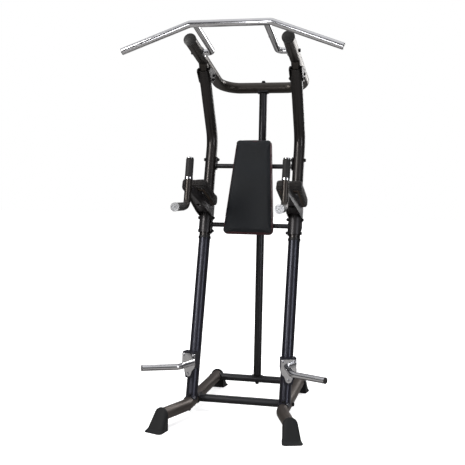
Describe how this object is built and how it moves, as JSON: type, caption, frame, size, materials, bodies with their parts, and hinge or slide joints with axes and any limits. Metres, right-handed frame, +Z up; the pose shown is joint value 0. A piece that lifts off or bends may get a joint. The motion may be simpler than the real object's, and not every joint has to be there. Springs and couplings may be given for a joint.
{
  "type": "power tower",
  "caption": "Free-standing power tower: pull-up bar with neutral grips, back pad with knee-raise arm rests, dip handles and push-up handles on a bolted round-tube frame.",
  "frame": {"origin": "on the floor, on the mid-plane between the two uprights, halfway between the front-most and rear-most points of the tower", "axes": "+Z up, -Y towards the front, where a person steps in, and +X to the right for somebody facing the tower; the YZ plane is the plane of symmetry"},
  "size_m": [1.1838, 1.1406, 2.178],
  "materials": {
    "frame": "satin near-black powder coat on the yoke, uprights and arm brackets",
    "frame_base": "satin near-black powder coat with a warm grey sheen on the base side tubes",
    "frame_cross": "satin black powder coat on the rear post and cross tubes",
    "chrome": "bright chrome plate",
    "rubber_boot": "matt black moulded rubber",
    "grip_rubber": "fine-textured black rubber",
    "plug": "black moulded plastic",
    "collar": "black moulded plastic ring",
    "pad_board": "plywood, stained dark",
    "back_vinyl": "matt black grained vinyl, dark maroon at the sides",
    "arm_vinyl": "matt black grained vinyl",
    "bolt_black": "black oxide steel",
    "screw_zinc": "zinc-plated steel"
  },
  "bodies": {
    "root": {"base_side_left": "frame_base", "base_side_right": "frame_base", "base_front_crossmember": "frame_cross", "base_rear_crossmember": "frame_cross", "front_foot_left": "rubber_boot", "front_foot_right": "rubber_boot", "rear_foot_left": "rubber_boot", "rear_foot_right": "rubber_boot", "rear_post": "frame_cross", "lower_upright_left": "frame", "lower_upright_right": "frame", "upright_collar_left": "collar", "upright_collar_right": "collar", "upper_upright_left": "frame", "upper_upright_right": "frame", "upper_yoke": "frame", "yoke_cap_left": "plug", "yoke_cap_right": "plug", "pull_up_bar": "chrome", "pull_up_bar_plug_left": "plug", "pull_up_bar_plug_right": "plug", "pad_crossbar_upper": "frame_cross", "pad_crossbar_lower": "frame_cross", "back_pad_board": "pad_board", "back_pad_cushion": "back_vinyl", "arm_bracket_left": "frame", "arm_bracket_right": "frame", "arm_pad_board_left": "pad_board", "arm_pad_board_right": "pad_board", "arm_pad_cushion_left": "arm_vinyl", "arm_pad_cushion_right": "arm_vinyl", "dip_handle_left": "frame", "dip_handle_right": "frame", "upright_grip_left": "grip_rubber", "upright_grip_right": "grip_rubber", "dip_grip_left": "grip_rubber", "dip_grip_right": "grip_rubber", "grip_collar_left": "chrome", "grip_collar_right": "chrome", "upright_grip_cap_left": "chrome", "upright_grip_cap_right": "chrome", "dip_grip_cap_left": "chrome", "dip_grip_cap_right": "chrome", "push_up_handle_left": "chrome", "push_up_handle_right": "chrome", "push_up_plug_left": "plug", "push_up_plug_right": "plug", "post_bolts": "bolt_black", "base_bolts": "bolt_black", "upright_foot_bolts": "bolt_black", "upright_through_bolts": "bolt_black", "yoke_saddle_bolts": "bolt_black", "pull_up_bar_bolts": "bolt_black", "neutral_grip_screws": "screw_zinc", "push_up_screws": "screw_zinc", "pad_screws": "screw_zinc", "arm_bracket_bolts": "bolt_black"}
  },
  "joints": []
}
